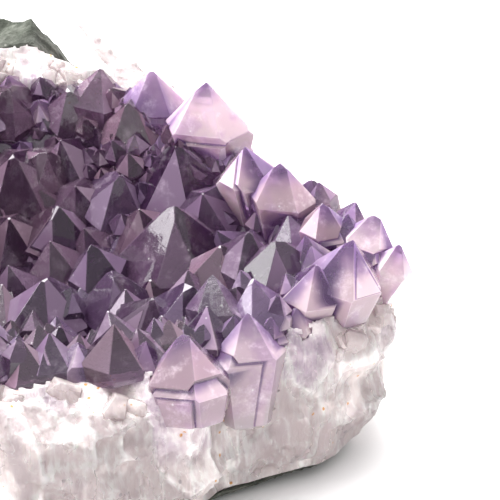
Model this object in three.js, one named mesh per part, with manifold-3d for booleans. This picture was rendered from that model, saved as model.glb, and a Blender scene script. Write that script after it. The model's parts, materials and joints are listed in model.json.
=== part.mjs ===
// Amethyst cluster: a piece broken out of the wall of a geode, in three layers that grew on each other.
// A skin of grey-green basalt wraps the underside and the back. On it stands a thick wall of pale quartz,
// broken off all round so that its columns show. The hollow in the wall and its rim are lined with amethyst
// crystals, six-sided with pointed ends. Millimetres, +Z up, the low broken front towards -Y. The origin is
// in the middle of the outline, on the flat cut that the piece rests on.
import * as THREE from 'three';
import { ConvexGeometry } from 'three/addons/geometries/ConvexGeometry.js';
import { mergeVertices } from 'three/addons/utils/BufferGeometryUtils.js';
import Module from 'manifold-3d';

const { clamp, degToRad, euclideanModulo, lerp, mapLinear } = THREE.MathUtils;

// Driving sizes of the piece.
const LAYER_GAP = 0.3; // clear distance kept between two layers
const HOLLOW_CENTRE = { x: 0, y: -8 }; // the hollow's deepest place, seen from above
const OUTLINE_MIDDLE = { x: 0.17, y: -2.72 }; // the middle of the whole outline, which becomes the origin
const HOLLOW_FLOOR = 21; // height of the hollow's floor, under the crystals
const CRUST_DEPTH = 5.5; // thickness of the amethyst layer that the crystals stand on
const SKIN_FLOOR = 2; // thickness of the basalt under the quartz
const LEAST_SKIN = 0.6; // how far the basalt climbs a side at least

// Each table goes round the hollow's centre in equal steps, anticlockwise from +X.
const OUTER_RADIUS = [66.5, 51, 50, 55, 62, 66, 65, 54, 46, 44, 44.5, 48.5];
const OUTER_HEIGHT = [33, 39, 53, 65, 63, 55, 42, 32, 26, 23.5, 24, 28];
const EDGE_HEIGHT = [36, 42, 49, 49, 50, 49, 43, 35, 29, 26.5, 27, 29];
const RIM_WIDTH = [8, 9, 12, 17, 18, 15, 14, 14, 16, 16, 12, 7];
const BASE_SHARE = [0.79, 0.86, 0.82, 0.8, 0.78, 0.8, 0.84, 0.88, 0.9, 0.9, 0.9, 0.88];
const SKIN_HEIGHT = [2.6, 5, 24, 72, 74, 70, 52, 24, 8, 3, 2.6, 2.6];
const SKIN_WIDTH = [2, 2.5, 4, 9, 10, 8, 5, 3.5, 2.5, 2, 2, 2];

// The broken side: shares of its height, with how much of the bulge over the base each has.
const SIDE_ROWS = [[0.06, 0.5], [0.17, 0.76], [0.33, 1], [0.5, 0.93], [0.66, 1], [0.82, 0.93], [0.93, 0.95]];
const CREST_ROWS = [0.75, 0.35]; // shares of the rim's width, from its outer edge to its inner one
const HOLLOW_ROWS = [0.4, 0.7, 1]; // shares of the hollow's radius
const SKIN_ROWS = [0, 0.33, 0.66, 1]; // shares of the basalt's height
const SEGMENTS = 60; // of the broken side
const HOLLOW_SEGMENTS = 24; // of the hollow's surface, under the crystals
const SKIN_SEGMENTS = 30; // of the surface between basalt and quartz

// Relief of the broken side, from its deepest place to the one that stands out most.
const COLUMN = { segments: 2, relief: 2.6 };
const LUMP = { segments: 5, relief: 3.2 };
const LEDGE_RELIEF = 2.8;
const CREST_RELIEF = 2.6;

// The basalt's edge is broken too, and its thickness varies.
const SKIN_SHIFT = degToRad(14); // how far places along its edge change round the piece
const SKIN_UNEVEN = { share: 0.35, above: 30 }; // of its width, where it climbs higher than this

// Bodies that only cut.
const FAR = 220; // past every side of the piece
const ROOF_HEIGHT = 36; // closes the piece over the hollow until the hollow is cut
const SLIVER = 0.06; // detail finer than this is smoothed away after the cuts

// Quartz has six sides, and each face of its point leans this far from the crystal's length.
const SIDES = 6;
const POINT_LEAN = degToRad(38.2);
const UNEVEN_SIDES = 0.22; // as a share of half the width
const UNEVEN_POINT = 0.04; // as a share of the width
const LESSER_FACES = 0.03; // every second face of a point stands this share of the width further out
const ROOT_BURIED = 1.8; // how far a crystal reaches into the layer that it stands on
const ROOT_TAPER = degToRad(12); // how fast the root of a rim crystal narrows

// The large crystals, each with its tip, its width over two flat sides and its lean for each unit of height.
const LARGE_CRYSTALS = [
  // The front row, from left to right.
  { tip: [5.4, -15.5, 33.5], width: 15, lean: [0.05, -0.3], turn: 10 },
  { tip: [8.8, -26.6, 29.8], width: 6.5, lean: [0.05, -0.25], turn: 40 },
  { tip: [9.6, -14.2, 31], width: 6, lean: [0.2, -0.1], turn: 0 },
  { tip: [16.7, -11.7, 33], width: 12, lean: [-0.1, -0.2], turn: 100 },
  { tip: [23.9, -21.5, 32.5], width: 9, lean: [0.35, -0.25], turn: 55 },
  { tip: [29.8, -22.2, 35.5], width: 15, lean: [0.05, -0.3], turn: 62 },
  { tip: [37.5, -22.6, 35], width: 8, lean: [0, -0.35], turn: 0 },
  { tip: [35.2, -12.5, 38], width: 12, lean: [0.05, -0.3], turn: 112 },
  { tip: [26.6, -3.2, 41], width: 19, lean: [-0.05, -0.3], turn: 92 },
  { tip: [39.6, -12.6, 40.5], width: 10, lean: [0.1, -0.2], turn: 50 },
  { tip: [44.5, -17.6, 41], width: 14, lean: [-0.05, -0.35], turn: 95 },
  // The back wall of the hollow.
  { tip: [-2.5, 13.5, 44], width: 14, lean: [-0.1, -0.7], turn: 30 },
  { tip: [3.5, 15, 44], width: 10, lean: [0.25, -0.75], turn: 105 },
  { tip: [5.7, 7.2, 37], width: 12, lean: [0, -0.45], turn: 62 },
  { tip: [12.1, 21.5, 46.5], width: 9, lean: [0.15, -0.8], turn: 15 },
  { tip: [16.9, 11, 41.5], width: 15, lean: [0.15, -0.5], turn: 45 },
  { tip: [27, 11, 47], width: 17, lean: [-0.1, -0.45], turn: 72 },
  { tip: [18.5, 19.5, 52], width: 14, lean: [-0.1, -0.6], turn: 25 },
  { tip: [7, 24, 53], width: 12, lean: [0, -0.7], turn: 40 },
  { tip: [-4, 24, 53], width: 12, lean: [0.1, -0.75], turn: 10 },
  // The left half of the hollow.
  { tip: [-14, 4, 39], width: 15, lean: [0.05, -0.35], turn: 15 },
  { tip: [-12, -16, 34], width: 13, lean: [0.1, -0.1], turn: 48 },
  { tip: [-26, -6, 38], width: 16, lean: [0.35, -0.1], turn: 33 },
  { tip: [-22, 16, 49], width: 15, lean: [0.25, -0.65], turn: 5 },
  { tip: [-38, 6, 46], width: 14, lean: [0.6, -0.2], turn: 22 },
  { tip: [-36, -16, 40], width: 13, lean: [0.5, 0.1], turn: 50 },
  { tip: [-25, -27, 36], width: 14, lean: [0.1, -0.15], turn: 10 },
  { tip: [-10, -31, 32], width: 11, lean: [0, -0.3], turn: 38 },
];

// The crystals on the rim, which keep more of their length. Their roots narrow into the broken quartz.
const RIM_CRYSTALS = [
  // Right and back, from the near side round.
  { tip: [29.5, -36.4, 33.5], width: 12, lean: [-0.08, 0.16], turn: 5, length: 14 },
  { tip: [39.6, -30, 34], width: 10.5, lean: [-0.03, 0.12], turn: 40, length: 19 },
  { tip: [43.6, -28.6, 32.5], width: 5, lean: [0.1, -0.1], turn: 10, length: 10 },
  { tip: [48.4, -25, 33], width: 6.5, lean: [0.15, -0.1], turn: 25, length: 11 },
  { tip: [50.8, -22, 39], width: 9, lean: [0.1, -0.15], turn: 50, length: 14 },
  { tip: [56.8, -19.5, 42], width: 11, lean: [0.15, -0.1], turn: 8, length: 14 },
  { tip: [65.2, -13, 38.5], width: 7, lean: [0.35, -0.1], turn: 30, length: 13 },
  { tip: [61.6, -9, 42.6], width: 9, lean: [0.3, 0.05], turn: 12, length: 15 },
  { tip: [56.4, -8.5, 42.2], width: 8, lean: [0.05, 0.05], turn: 38, length: 14 },
  { tip: [52.3, -9.5, 44.5], width: 7, lean: [-0.05, -0.15], turn: 45, length: 13 },
  { tip: [45.2, 1, 47.8], width: 11, lean: [0, -0.12], turn: 20, length: 17 },
  { tip: [39.1, 3.6, 49.5], width: 9, lean: [-0.1, -0.2], turn: 42, length: 15 },
  { tip: [32, 16.5, 57], width: 13, lean: [-0.05, -0.15], turn: 14, length: 20 },
  { tip: [22.5, 23, 57], width: 11, lean: [0, -0.2], turn: 28, length: 16 },
  // A lower one behind the right end.
  { tip: [55.5, -2.5, 39.8], width: 10, lean: [0.1, 0.05], turn: 20, length: 13 },
];

// Small crystals fill the hollow between the large ones. Their sizes are shares of their width.
const SMALL = {
  tries: 1500,
  area: { left: -54, right: 58, near: -42, far: 36 },
  width: { least: 8, most: 13.5 },
  height: { least: 0.6, most: 0.75 }, // above the layer
  tallShare: 0.25, // of all the small crystals, which show their sides too
  tallExtra: 0.4, // how much further those stand out
  edgeDistance: 0.45,
  spacing: 0.74, // of the mean width of two neighbours
  crowding: 0.42, // least distance to a large crystal, as a share of that one's width
  upright: 0.25, // 0 stands square on the layer, 1 straight up
  wander: 0.3,
};

// A fringe of crystals breaks up the edge of the hollow where no rim crystal stands.
const FRINGE = {
  places: 34,
  width: { least: 7, most: 12 },
  fromEdge: { least: -4, most: 1.5 }, // outwards
  upright: 0.6,
  shift: 0.7, // of the distance between two places
};

// Fixed scattered numbers need a count and a purpose. Each kind of crystal has its own first count.
const SCATTER = { count: 12.9898, purpose: 78.233, spread: 43758.5453 };
const FIRST = { large: 0, rim: 100, small: 200, fringe: 2000 };
const FOR = {
  column: 1, ledge: 2, crest: 3, lump: 4, side: 5, point: 6, wanderX: 7, wanderY: 8, turn: 9,
  placeX: 10, placeY: 11, width: 12, height: 13, skin: 19, skinWidth: 20,
  fringeTurn: 14, fringePlace: 15, fringeWidth: 16, fringeHeight: 17, tall: 18,
};

const FULL_TURN = 2 * Math.PI;
const UP = new THREE.Vector3(0, 0, 1);

const wasm = await Module();
wasm.setup();

// A fixed scattered number from 0 to 1.
function scatter(count, purpose) {
  const wave = Math.sin(count * SCATTER.count + purpose * SCATTER.purpose) * SCATTER.spread;
  return wave - Math.floor(wave);
}

function scatterAround(relief, count, purpose) {
  return relief * (scatter(count, purpose) - 0.5);
}

function between(range, share) {
  return lerp(range.least, range.most, share);
}

// The smooth curve through a table that goes once round.
function around(table, angle) {
  const place = euclideanModulo(angle / FULL_TURN, 1) * table.length;
  const step = Math.floor(place);
  const part = place - step;
  const at = (shift) => table[(step + shift + table.length) % table.length];
  const slope = (at(1) - at(-1)) / 2;
  const nextSlope = (at(2) - at(0)) / 2;
  const ease = part * part * (3 - 2 * part);
  const leave = slope * part * (1 - part) ** 2;
  const arrive = nextSlope * part * part * (part - 1);
  return lerp(at(0), at(1), ease) + leave + arrive;
}

// Angle and radius of a place, seen from the hollow's centre.
function fromCentre(x, y) {
  const acrossX = x - HOLLOW_CENTRE.x;
  const acrossY = y - HOLLOW_CENTRE.y;
  return { angle: Math.atan2(acrossY, acrossX), radius: Math.hypot(acrossX, acrossY) };
}

function innerRadius(angle) {
  return around(OUTER_RADIUS, angle) - around(RIM_WIDTH, angle);
}

// Height of the hollow's surface at a share of its radius, 1 at its edge.
function hollowHeight(angle, share) {
  return lerp(HOLLOW_FLOOR, around(EDGE_HEIGHT, angle), share ** 2);
}

// Height of the rim at a share of its width, 0 at the hollow's edge.
function rimHeight(angle, share) {
  return lerp(around(EDGE_HEIGHT, angle), around(OUTER_HEIGHT, angle), share);
}

// Height of the surface that crystals stand on: the hollow, and past its edge the rim.
function bedHeight(x, y) {
  const { angle, radius } = fromCentre(x, y);
  const inner = innerRadius(angle);
  if (radius < inner) {
    return hollowHeight(angle, radius / inner);
  }
  return rimHeight(angle, clamp((radius - inner) / around(RIM_WIDTH, angle), 0, 1));
}

// The direction square on the layer at a place.
function squareOn(x, y) {
  const step = 0.5;
  const slopeX = (bedHeight(x + step, y) - bedHeight(x - step, y)) / (2 * step);
  const slopeY = (bedHeight(x, y + step) - bedHeight(x, y - step)) / (2 * step);
  return new THREE.Vector3(-slopeX, -slopeY, 1).normalize();
}

// The radius of the piece's side at a share of its height, without relief.
function sideRadius(angle, heightShare) {
  const rows = [[0, 0], ...SIDE_ROWS, [1, SIDE_ROWS.at(-1)[1]]];
  const upper = Math.max(rows.findIndex(([height]) => height >= heightShare), 1);
  const [lowHeight, lowBulge] = rows[upper - 1];
  const [highHeight, highBulge] = rows[upper];
  const bulge = mapLinear(heightShare, lowHeight, highHeight, lowBulge, highBulge);
  return around(OUTER_RADIUS, angle) * lerp(around(BASE_SHARE, angle), 1, bulge);
}

// A solid from a closed geometry, whose corners are joined first.
function solidFrom(geometry) {
  const bare = geometry.clone();
  bare.deleteAttribute('normal');
  bare.deleteAttribute('uv');
  const joined = mergeVertices(bare);
  const corners = Array.from(joined.index.array);
  const triangles = [];
  for (let first = 0; first < corners.length; first += 3) {
    const [a, b, c] = corners.slice(first, first + 3);
    if (a !== b && b !== c && c !== a) {
      triangles.push(a, b, c);
    }
  }
  const vertProperties = Float32Array.from(joined.attributes.position.array);
  const triVerts = Uint32Array.from(triangles);
  return new wasm.Manifold(new wasm.Mesh({ numProp: 3, vertProperties, triVerts }));
}

// A closed body round the hollow's centre. The profile gives the radius and height of each row at an angle,
// and starts and ends on the axis.
function loft(profile, segments) {
  const rows = profile(0, 0);
  const points = rows.map(([radius, height]) => new THREE.Vector2(radius, height));
  const geometry = new THREE.LatheGeometry(points, segments);
  const position = geometry.attributes.position;
  for (let line = 0; line <= segments; line += 1) {
    const segment = line % segments;
    const angle = (FULL_TURN * segment) / segments;
    profile(angle, segment).forEach(([radius, height], row) => {
      const x = HOLLOW_CENTRE.x + radius * Math.cos(angle);
      const y = HOLLOW_CENTRE.y + radius * Math.sin(angle);
      position.setXYZ(line * rows.length + row, x, y, height);
    });
  }
  return solidFrom(geometry);
}

// The whole piece without hollow and crystals, with a flat cut below and a rough broken side.
function chunkProfile(angle, segment) {
  const column = scatterAround(COLUMN.relief, Math.floor(segment / COLUMN.segments), FOR.column);
  const lump = scatterAround(LUMP.relief, Math.floor(segment / LUMP.segments), FOR.lump);
  const broken = column + lump;
  const rows = [[0, 0], [sideRadius(angle, 0) + broken / 2, 0]];
  SIDE_ROWS.forEach(([share], row) => {
    const ledge = scatterAround(LEDGE_RELIEF, segment * SIDE_ROWS.length + row, FOR.ledge);
    rows.push([sideRadius(angle, share) + broken + ledge, around(OUTER_HEIGHT, angle) * share]);
  });
  CREST_ROWS.forEach((share, row) => {
    const crest = scatterAround(CREST_RELIEF, segment * CREST_ROWS.length + row, FOR.crest);
    const radius = lerp(innerRadius(angle), around(OUTER_RADIUS, angle), share);
    rows.push([radius + broken / 2, rimHeight(angle, share) + crest]);
  });
  rows.push([0, ROOF_HEIGHT]);
  return rows;
}

// Everything inside the basalt skin, larger by a growth.
function insideSkinProfile(growth) {
  return (angle, segment) => {
    const top = around(OUTER_HEIGHT, angle);
    const shifted = angle + scatterAround(SKIN_SHIFT, segment, FOR.skin);
    const climb = Math.max(around(SKIN_HEIGHT, shifted), SKIN_FLOOR + LEAST_SKIN);
    const unevenShare = climb > SKIN_UNEVEN.above ? SKIN_UNEVEN.share : 0;
    const rows = [[0, SKIN_FLOOR - growth]];
    SKIN_ROWS.forEach((share, row) => {
      const height = lerp(SKIN_FLOOR, climb, share);
      const uneven = scatterAround(unevenShare, segment * SKIN_ROWS.length + row, FOR.skinWidth);
      const width = around(SKIN_WIDTH, angle) * (1 + uneven);
      const radius = sideRadius(angle, Math.min(height / top, 1)) - width;
      rows.push([radius + growth, height - growth]);
    });
    rows.push([FAR, climb - growth + 1], [FAR, FAR], [0, FAR]);
    return rows;
  };
}

// Everything above the hollow's surface, or above a depth under it, larger by a growth.
function hollowProfile(depth, growth) {
  return (angle) => {
    const inner = innerRadius(angle) + growth;
    const sunk = depth + growth;
    const rows = [[0, HOLLOW_FLOOR - sunk]];
    HOLLOW_ROWS.forEach((share) => rows.push([inner * share, hollowHeight(angle, share) - sunk]));
    rows.push([inner, FAR], [0, FAR]);
    return rows;
  };
}

// The point where three planes meet, or null if two of them never cross.
function meetingPoint(a, b, c) {
  const slightest = 1e-6;
  const crossed = new THREE.Vector3().crossVectors(b.normal, c.normal);
  const volume = a.normal.dot(crossed);
  if (Math.abs(volume) < slightest) {
    return null;
  }
  const point = crossed.multiplyScalar(a.reach);
  point.addScaledVector(new THREE.Vector3().crossVectors(c.normal, a.normal), b.reach);
  point.addScaledVector(new THREE.Vector3().crossVectors(a.normal, b.normal), c.reach);
  return point.divideScalar(volume);
}

// The corners of a convex body: each point where three of its planes meet and that no plane cuts off.
function cornersOf(planes) {
  const corners = [];
  const tolerance = 1e-6;
  const near = 1e-3;
  planes.forEach((a, i) => planes.slice(i + 1).forEach((b, j) => planes.slice(i + j + 2).forEach((c) => {
    const point = meetingPoint(a, b, c);
    const inside = point && planes.every(({ normal, reach }) => normal.dot(point) < reach + tolerance);
    if (inside && corners.every((corner) => corner.distanceTo(point) > near)) {
      corners.push(point);
    }
  })));
  return corners;
}

// One crystal: six sides, six faces that meet in a point, and an end at the root. A plain one has even faces.
function crystalSolid(crystal, growth) {
  const { tip, axis, width, taper, turn, count, plain, rootNormal, root } = crystal;
  const across = new THREE.Vector3(1, 0, 0).addScaledVector(axis, -axis.x).normalize();
  const planes = [];
  const addPlane = (normal, through) => planes.push({ normal, reach: normal.dot(through) + growth });
  const leaning = (outward, lean, along) =>
    outward.clone().multiplyScalar(Math.cos(lean)).addScaledVector(axis, along * Math.sin(lean));
  for (let side = 0; side < SIDES; side += 1) {
    const outward = across.clone().applyAxisAngle(axis, turn + (FULL_TURN * side) / SIDES);
    const half = (width / 2) * (1 + scatterAround(UNEVEN_SIDES, count * SIDES + side, FOR.side));
    const shoulder = tip.clone().addScaledVector(outward, half);
    shoulder.addScaledVector(axis, -half / Math.tan(POINT_LEAN));
    addPlane(leaning(outward, taper, -1), shoulder);
    const uneven = scatterAround(UNEVEN_POINT, count * SIDES + side, FOR.point);
    const step = plain ? 0 : width * ((side % 2) * LESSER_FACES + uneven);
    const face = leaning(outward, POINT_LEAN, 1);
    addPlane(face, tip.clone().addScaledVector(face, step));
  }
  addPlane(rootNormal, root);
  return solidFrom(new ConvexGeometry(cornersOf(planes)));
}

// The place where a crystal comes out of the layer, found by going back from its tip.
function footOf(tip, axis) {
  const foot = tip.clone();
  const step = 0.25;
  while (foot.z > bedHeight(foot.x, foot.y)) {
    foot.addScaledVector(axis, -step);
  }
  return foot;
}

// A crystal that stands on the layer ends in it, on a plane parallel to the layer's surface.
function rooted(crystal) {
  const { foot } = crystal;
  const square = squareOn(foot.x, foot.y);
  const root = foot.clone().addScaledVector(square, -ROOT_BURIED);
  return { ...crystal, taper: 0, root, rootNormal: square.negate() };
}

function largeCrystal(entry, place) {
  const tip = new THREE.Vector3(...entry.tip);
  const axis = new THREE.Vector3(entry.lean[0], entry.lean[1], 1).normalize();
  const foot = footOf(tip, axis);
  const count = FIRST.large + place;
  return rooted({ foot, tip, axis, width: entry.width, turn: degToRad(entry.turn), count, plain: false });
}

// A crystal on the rim ends square on its length, where its root has narrowed.
function rimCrystal(entry, place) {
  const tip = new THREE.Vector3(...entry.tip);
  const axis = new THREE.Vector3(entry.lean[0], entry.lean[1], 1).normalize();
  const foot = tip.clone().addScaledVector(axis, -entry.length / 2);
  const root = tip.clone().addScaledVector(axis, -entry.length);
  const rootNormal = axis.clone().negate();
  const shape = { width: entry.width, turn: degToRad(entry.turn), taper: ROOT_TAPER, plain: false };
  return { ...shape, foot, tip, axis, root, rootNormal, count: FIRST.rim + place };
}

// A small crystal stands nearly square on the layer, or more upright, and wanders a little from that.
function smallCrystal(x, y, width, height, upright, count) {
  const axis = squareOn(x, y).lerp(UP, upright);
  axis.x += scatterAround(SMALL.wander, count, FOR.wanderX);
  axis.y += scatterAround(SMALL.wander, count, FOR.wanderY);
  axis.normalize();
  const foot = new THREE.Vector3(x, y, bedHeight(x, y));
  const tip = foot.clone().addScaledVector(axis, height);
  const plain = height < width * SMALL.height.most;
  return rooted({ foot, tip, axis, width, turn: scatter(count, FOR.turn) * FULL_TURN, count, plain });
}

function isCrowded(x, y, large) {
  return large.some(({ foot, width }) => Math.hypot(foot.x - x, foot.y - y) < width * SMALL.crowding);
}

// Small crystals are tried at scattered places, and kept where there is room for them.
function smallCrystals(large) {
  const list = [];
  for (let count = FIRST.small; count < FIRST.small + SMALL.tries; count += 1) {
    const x = lerp(SMALL.area.left, SMALL.area.right, scatter(count, FOR.placeX));
    const y = lerp(SMALL.area.near, SMALL.area.far, scatter(count, FOR.placeY));
    const { angle, radius } = fromCentre(x, y);
    const width = between(SMALL.width, scatter(count, FOR.width));
    const foot = new THREE.Vector3(x, y, bedHeight(x, y));
    const touches = (other) => other.foot.distanceTo(foot) < (SMALL.spacing * (other.width + width)) / 2;
    const fits = radius + width * SMALL.edgeDistance < innerRadius(angle);
    if (fits && !isCrowded(x, y, large) && !list.some(touches)) {
      const tall = scatter(count, FOR.tall) < SMALL.tallShare ? SMALL.tallExtra : 0;
      const height = width * (between(SMALL.height, scatter(count, FOR.height)) + tall);
      list.push(smallCrystal(x, y, width, height, SMALL.upright, count));
    }
  }
  return list;
}

function fringeCrystals(large) {
  const list = [];
  for (let place = 0; place < FRINGE.places; place += 1) {
    const count = FIRST.fringe + place;
    const angle = (FULL_TURN * (place + FRINGE.shift * scatter(count, FOR.fringeTurn))) / FRINGE.places;
    const radius = innerRadius(angle) + between(FRINGE.fromEdge, scatter(count, FOR.fringePlace));
    const x = HOLLOW_CENTRE.x + radius * Math.cos(angle);
    const y = HOLLOW_CENTRE.y + radius * Math.sin(angle);
    if (!isCrowded(x, y, large)) {
      const width = between(FRINGE.width, scatter(count, FOR.fringeWidth));
      const height = width * between(SMALL.height, scatter(count, FOR.fringeHeight));
      list.push(smallCrystal(x, y, width, height, FRINGE.upright, count));
    }
  }
  return list;
}

function joinCrystals(list, growth) {
  return wasm.Manifold.union(list.map((crystal) => crystalSolid(crystal, growth)));
}

// The largest body of a solid, without the crumbs and slivers that the cuts have left.
function largestBody(solid) {
  const bodies = solid.asOriginal().simplify(SLIVER).decompose();
  return bodies.reduce((best, body) => (body.volume() > best.volume() ? body : best));
}

const largeCrystals = LARGE_CRYSTALS.map(largeCrystal);
const rimCrystals = RIM_CRYSTALS.map(rimCrystal);
const plannedCrystals = [...largeCrystals, ...rimCrystals];
const fillingCrystals = [...smallCrystals(plannedCrystals), ...fringeCrystals(plannedCrystals)];
const allCrystals = [...plannedCrystals, ...fillingCrystals];

const chunk = loft(chunkProfile, SEGMENTS);

// The amethyst layer with every crystal that stands on it.
function crustSolid() {
  const layer = chunk.intersect(loft(hollowProfile(CRUST_DEPTH, 0), HOLLOW_SEGMENTS));
  const bed = layer.subtract(loft(hollowProfile(0, 0), HOLLOW_SEGMENTS));
  return largestBody(bed.add(joinCrystals(allCrystals, 0)));
}

// The room that the amethyst takes in the other layers. Crystals well inside the edge stay clear of those.
function crustRoom() {
  const reachesEdge = ({ foot, width }) => {
    const { angle, radius } = fromCentre(foot.x, foot.y);
    return radius > innerRadius(angle) - width;
  };
  const layer = loft(hollowProfile(CRUST_DEPTH, LAYER_GAP), HOLLOW_SEGMENTS);
  return layer.add(joinCrystals(allCrystals.filter(reachesEdge), LAYER_GAP));
}

function wallSolid(room) {
  const insideSkin = loft(insideSkinProfile(0), SKIN_SEGMENTS);
  return largestBody(chunk.intersect(insideSkin).subtract(room));
}

function rindSolid(room) {
  const insideSkin = loft(insideSkinProfile(LAYER_GAP), SKIN_SEGMENTS);
  return largestBody(chunk.subtract(insideSkin).subtract(room));
}

function stoneMaterial(color, roughness) {
  return new THREE.MeshStandardMaterial({ color, roughness, metalness: 0, flatShading: true });
}

const AMETHYST = stoneMaterial(0x7a5f93, 0.12);
const QUARTZ = stoneMaterial(0xe6dfe4, 0.35);
const BASALT = stoneMaterial(0x5f665f, 0.9);

function namedMesh(name, solid, material) {
  const { vertProperties, triVerts } = solid.getMesh();
  const geometry = new THREE.BufferGeometry();
  geometry.setAttribute('position', new THREE.Float32BufferAttribute(vertProperties, 3));
  geometry.setIndex(Array.from(triVerts));
  geometry.computeVertexNormals();
  const mesh = new THREE.Mesh(geometry, material);
  mesh.name = name;
  mesh.position.set(-OUTLINE_MIDDLE.x, -OUTLINE_MIDDLE.y, 0);
  return mesh;
}

const room = crustRoom();
const group = new THREE.Group();
group.name = 'amethyst_cluster';
group.add(namedMesh('amethyst_crust', crustSolid(), AMETHYST));
group.add(namedMesh('quartz_wall', wallSolid(room), QUARTZ));
group.add(namedMesh('basalt_rind', rindSolid(room), BASALT));

export default group;
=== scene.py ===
import json
import math

import bmesh
import bpy
import numpy as np
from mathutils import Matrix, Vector, kdtree, noise
from mathutils.bvhtree import BVHTree

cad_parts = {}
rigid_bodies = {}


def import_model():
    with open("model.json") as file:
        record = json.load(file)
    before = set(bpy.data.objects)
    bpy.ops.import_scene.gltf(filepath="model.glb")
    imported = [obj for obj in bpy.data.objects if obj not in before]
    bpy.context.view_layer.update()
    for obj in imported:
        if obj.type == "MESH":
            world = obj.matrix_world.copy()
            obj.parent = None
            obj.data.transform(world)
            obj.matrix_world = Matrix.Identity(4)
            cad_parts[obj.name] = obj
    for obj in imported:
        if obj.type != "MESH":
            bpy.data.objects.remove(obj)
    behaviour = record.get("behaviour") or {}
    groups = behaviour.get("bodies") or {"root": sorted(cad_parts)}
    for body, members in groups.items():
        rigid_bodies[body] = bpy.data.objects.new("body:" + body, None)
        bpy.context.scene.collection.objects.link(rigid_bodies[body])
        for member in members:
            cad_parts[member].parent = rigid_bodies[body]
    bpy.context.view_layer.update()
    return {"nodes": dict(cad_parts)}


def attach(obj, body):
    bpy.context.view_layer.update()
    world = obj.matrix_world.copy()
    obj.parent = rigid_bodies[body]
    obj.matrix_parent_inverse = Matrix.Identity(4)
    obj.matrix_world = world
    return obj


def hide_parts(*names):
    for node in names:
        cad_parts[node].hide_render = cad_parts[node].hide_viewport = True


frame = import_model()


# Amethyst crust
# The violet lining of the geode's hollow: six-sided quartz crystals with pointed ends, each grown square to
# the bed it stands on and all grown together into one solid. Their tips are deep violet and their roots pale.
# Sizes here are in millimetres round the hollow, and the finished mesh is moved and scaled into the frame.
HOLLOW_CENTRE = Vector((0, -8, 0))
OUTLINE_MIDDLE = Vector((0.17, -2.72, 0))
HOLLOW_FLOOR = 21
CRUST_DEPTH = 5.5
MM = 0.001

# Each table goes round the hollow's centre in equal steps, anticlockwise from +X.
OUTER_RADIUS = [66.5, 51, 50, 55, 62, 66, 65, 54, 46, 44, 44.5, 48.5]
OUTER_HEIGHT = [33, 39, 53, 65, 63, 55, 42, 32, 26, 23.5, 24, 28]
EDGE_HEIGHT = [36, 42, 49, 49, 50, 49, 43, 35, 29, 26.5, 27, 29]
RIM_WIDTH = [8, 9, 12, 17, 18, 15, 14, 14, 16, 16, 12, 7]

# The large crystals: tip, width over two flat sides, lean for each unit of height, and turn in degrees.
FRONT_ROW = [
    ((5.4, -15.5, 33.5), 15, (0.05, -0.3), 10),
    ((8.8, -26.6, 29.8), 6.5, (0.05, -0.25), 40),
    ((9.6, -14.2, 31), 6, (0.2, -0.1), 0),
    ((16.7, -11.7, 33), 12, (-0.1, -0.2), 100),
    ((23.9, -21.5, 32.5), 9, (0.35, -0.25), 55),
    ((29.8, -22.2, 35.5), 15, (0.05, -0.3), 62),
    ((37.5, -22.6, 35), 8, (0, -0.35), 0),
    ((35.2, -12.5, 38), 12, (0.05, -0.3), 112),
    ((26.6, -3.2, 41), 19, (-0.05, -0.3), 92),
    ((39.6, -12.6, 40.5), 10, (0.1, -0.2), 50),
    ((44.5, -17.6, 41), 14, (-0.05, -0.35), 95),
]
BACK_WALL = [
    ((-2.5, 13.5, 44), 14, (-0.1, -0.7), 30),
    ((3.5, 15, 44), 10, (0.25, -0.75), 105),
    ((5.7, 7.2, 37), 12, (0, -0.45), 62),
    ((12.1, 21.5, 46.5), 9, (0.15, -0.8), 15),
    ((16.9, 11, 41.5), 15, (0.15, -0.5), 45),
    ((27, 11, 47), 17, (-0.1, -0.45), 72),
    ((18.5, 19.5, 52), 14, (-0.1, -0.6), 25),
    ((7, 24, 53), 12, (0, -0.7), 40),
    ((-4, 24, 53), 12, (0.1, -0.75), 10),
]
LEFT_HALF = [
    ((-14, 4, 39), 15, (0.05, -0.35), 15),
    ((-12, -16, 34), 13, (0.1, -0.1), 48),
    ((-26, -6, 38), 16, (0.35, -0.1), 33),
    ((-22, 16, 49), 15, (0.25, -0.65), 5),
    ((-38, 6, 46), 14, (0.6, -0.2), 22),
    ((-36, -16, 40), 13, (0.5, 0.1), 50),
    ((-25, -27, 36), 14, (0.1, -0.15), 10),
    ((-10, -31, 32), 11, (0, -0.3), 38),
]
# The crystals on the rim, which keep more of their length, given last.
RIM_ROW = [
    ((29.5, -36.4, 33.5), 12, (-0.08, 0.16), 5, 14),
    ((39.6, -30, 34), 10.5, (-0.03, 0.12), 40, 19),
    ((43.6, -28.6, 32.5), 5, (0.1, -0.1), 10, 10),
    ((48.4, -25, 33), 6.5, (0.15, -0.1), 25, 11),
    ((50.8, -22, 39), 9, (0.1, -0.15), 50, 14),
    ((56.8, -19.5, 42), 11, (0.15, -0.1), 8, 14),
    ((65.2, -13, 38.5), 7, (0.35, -0.1), 30, 13),
    ((61.6, -9, 42.6), 9, (0.3, 0.05), 12, 15),
    ((56.4, -8.5, 42.2), 8, (0.05, 0.05), 38, 14),
    ((52.3, -9.5, 44.5), 7, (-0.05, -0.15), 45, 13),
    ((45.2, 1, 47.8), 11, (0, -0.12), 20, 17),
    ((39.1, 3.6, 49.5), 9, (-0.1, -0.2), 42, 15),
    ((32, 16.5, 57), 13, (-0.05, -0.15), 14, 20),
    ((22.5, 23, 57), 11, (0, -0.2), 28, 16),
    ((55.5, -2.5, 39.8), 10, (0.1, 0.05), 20, 13),
]

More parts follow.
